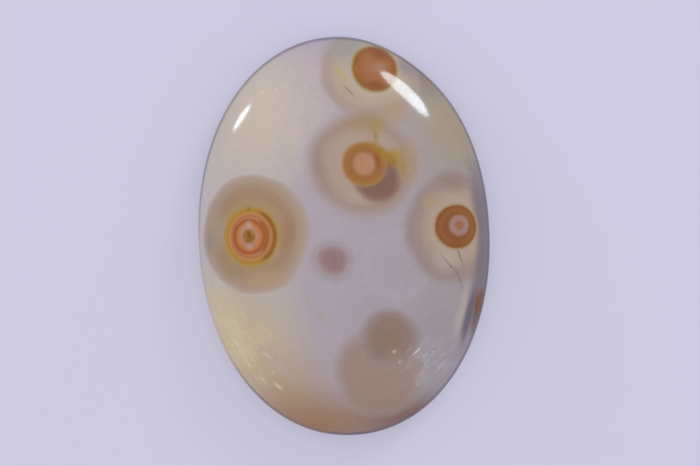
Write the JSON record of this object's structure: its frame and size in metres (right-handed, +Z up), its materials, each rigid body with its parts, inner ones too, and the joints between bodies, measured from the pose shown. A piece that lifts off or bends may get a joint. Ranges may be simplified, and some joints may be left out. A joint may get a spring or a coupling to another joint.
{
  "type": "ocean jasper cabochon",
  "caption": "Oval polished cabochon of orbicular chalcedony, with a domed face, a low girdle and a flat back to rest or be set on.",
  "frame": {"origin": "middle of the flat back, under the middle of the oval's bounding box", "axes": "+Z up out of the domed face, +Y along the oval's long axis, +X along its short axis"},
  "size_m": [0.022, 0.03, 0.006],
  "materials": {
    "stone": "high polish on the dome, fine-ground on the back"
  },
  "bodies": {
    "root": {"cabochon": "stone"}
  },
  "joints": []
}
